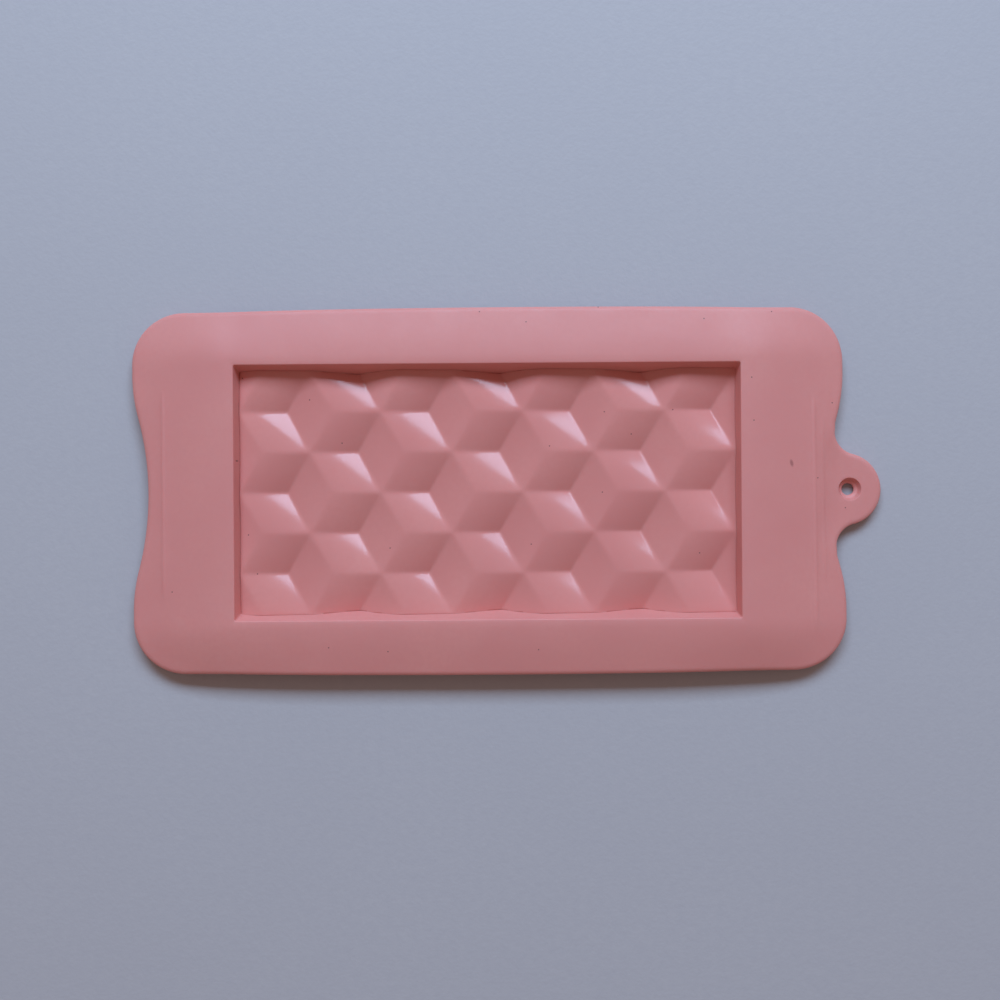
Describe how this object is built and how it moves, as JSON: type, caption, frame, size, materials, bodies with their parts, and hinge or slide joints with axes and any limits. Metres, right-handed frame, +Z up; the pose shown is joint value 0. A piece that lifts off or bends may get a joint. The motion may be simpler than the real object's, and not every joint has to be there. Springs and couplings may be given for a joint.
{
  "type": "silicone soap slab mould",
  "caption": "Flat one-cavity silicone mould for a soap or wax bar, with a tumbling-cube relief floor, a wide waisted rim and a hanging tab.",
  "frame": {"origin": "middle of the cavity, on the flat underside of the pocket", "axes": "+X along the long sides towards the hanging tab, +Z up out of the open cavity"},
  "size_m": [0.2157, 0.1064, 0.0092],
  "materials": {
    "silicone": "satin pink silicone"
  },
  "bodies": {
    "root": {"rim_flange": "silicone", "hanging_tab": "silicone", "cavity_walls": "silicone", "patterned_floor": "silicone"}
  },
  "joints": []
}
